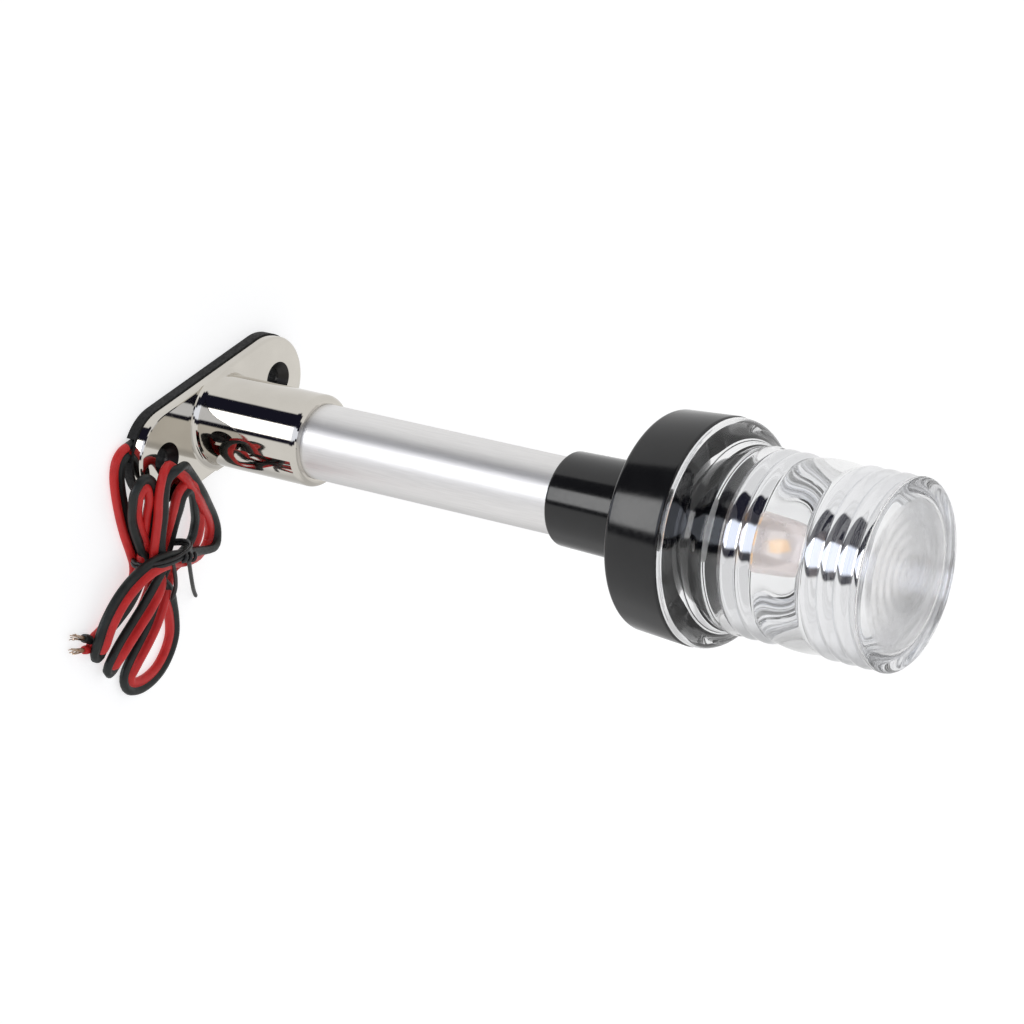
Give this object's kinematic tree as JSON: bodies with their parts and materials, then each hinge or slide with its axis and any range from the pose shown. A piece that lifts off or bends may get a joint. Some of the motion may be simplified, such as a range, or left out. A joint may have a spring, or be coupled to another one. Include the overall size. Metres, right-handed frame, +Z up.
{
  "type": "navigation light",
  "caption": "All-round boat navigation light: clear ribbed lens on a black housing, short round pole, two-hole steel base and a tied twin lead.",
  "frame": {"origin": "centre of the base gasket's underside, on the pole's axis", "axes": "+Z up the pole towards the lens, +X along the base's long axis towards the end where the cord leaves, +Y across the base"},
  "size_m": [0.1153, 0.1022, 0.2362],
  "materials": {
    "gasket_rubber": "soft matte black rubber",
    "polished_steel": "mirror-polished cast stainless steel",
    "screw_steel": "plain stainless steel",
    "satin_aluminium": "satin anodised",
    "black_housing": "glossy black moulded plastic",
    "white_plastic": "white moulded plastic",
    "brass_contact": "plain brass",
    "black_insulation": "soft black vinyl",
    "red_insulation": "soft red vinyl",
    "clear_lens": "clear moulded acrylic",
    "clear_dome": "clear moulded plastic",
    "led_board": "white solder mask",
    "led_phosphor": "yellow phosphor",
    "driver_parts": "black chip resistors",
    "black_tie": "black plastic-covered wire",
    "copper_strands": "bare copper strands"
  },
  "bodies": {
    "root": {"base_gasket": "gasket_rubber", "base_plate": "polished_steel", "pole_set_screw": "screw_steel", "pole_tube": "satin_aluminium", "cable_grommet": "gasket_rubber", "lamp_housing": "black_housing", "holder_tray": "black_housing", "bulb_holder": "black_housing", "holder_contacts": "brass_contact", "holder_screws": "screw_steel", "splice_sleeves": "black_insulation", "lead_red": "red_insulation", "lead_black": "black_insulation", "cord_exit_run": "red_insulation", "cord_hank_upper": "red_insulation", "cord_hank_lower": "red_insulation", "hank_tie": "black_tie", "cord_end_red": "red_insulation", "cord_end_black": "black_insulation", "stripped_strands": "copper_strands"},
    "seal": {"lens_seal": "gasket_rubber"},
    "lens": {"lens": "clear_lens"},
    "capsule": {"bulb_base": "white_plastic", "bulb_contact_wires": "screw_steel", "led_carrier": "led_board", "led_chips": "led_phosphor", "led_driver_parts": "driver_parts", "bulb_dome": "clear_dome"}
  },
  "joints": [
    {"name": "lens_rise", "type": "slide", "parent": "root", "child": "seal", "axis": [0, 0, 1], "range_m": [0, 0.01081]},
    {"name": "lens_turn", "type": "hinge", "parent": "seal", "child": "lens", "pos_m": [0, 0, 0.1775], "axis": [0, 0, 1], "range_deg": [0, 1080]},
    {"name": "capsule_pull", "type": "slide", "parent": "root", "child": "capsule", "axis": [0, 0, 1], "range_m": [0, 0.012]}
  ],
  "couplings": [
    {"joint": "lens_rise", "follows": "lens_turn", "m_per_rad": 0.00057296}
  ]
}
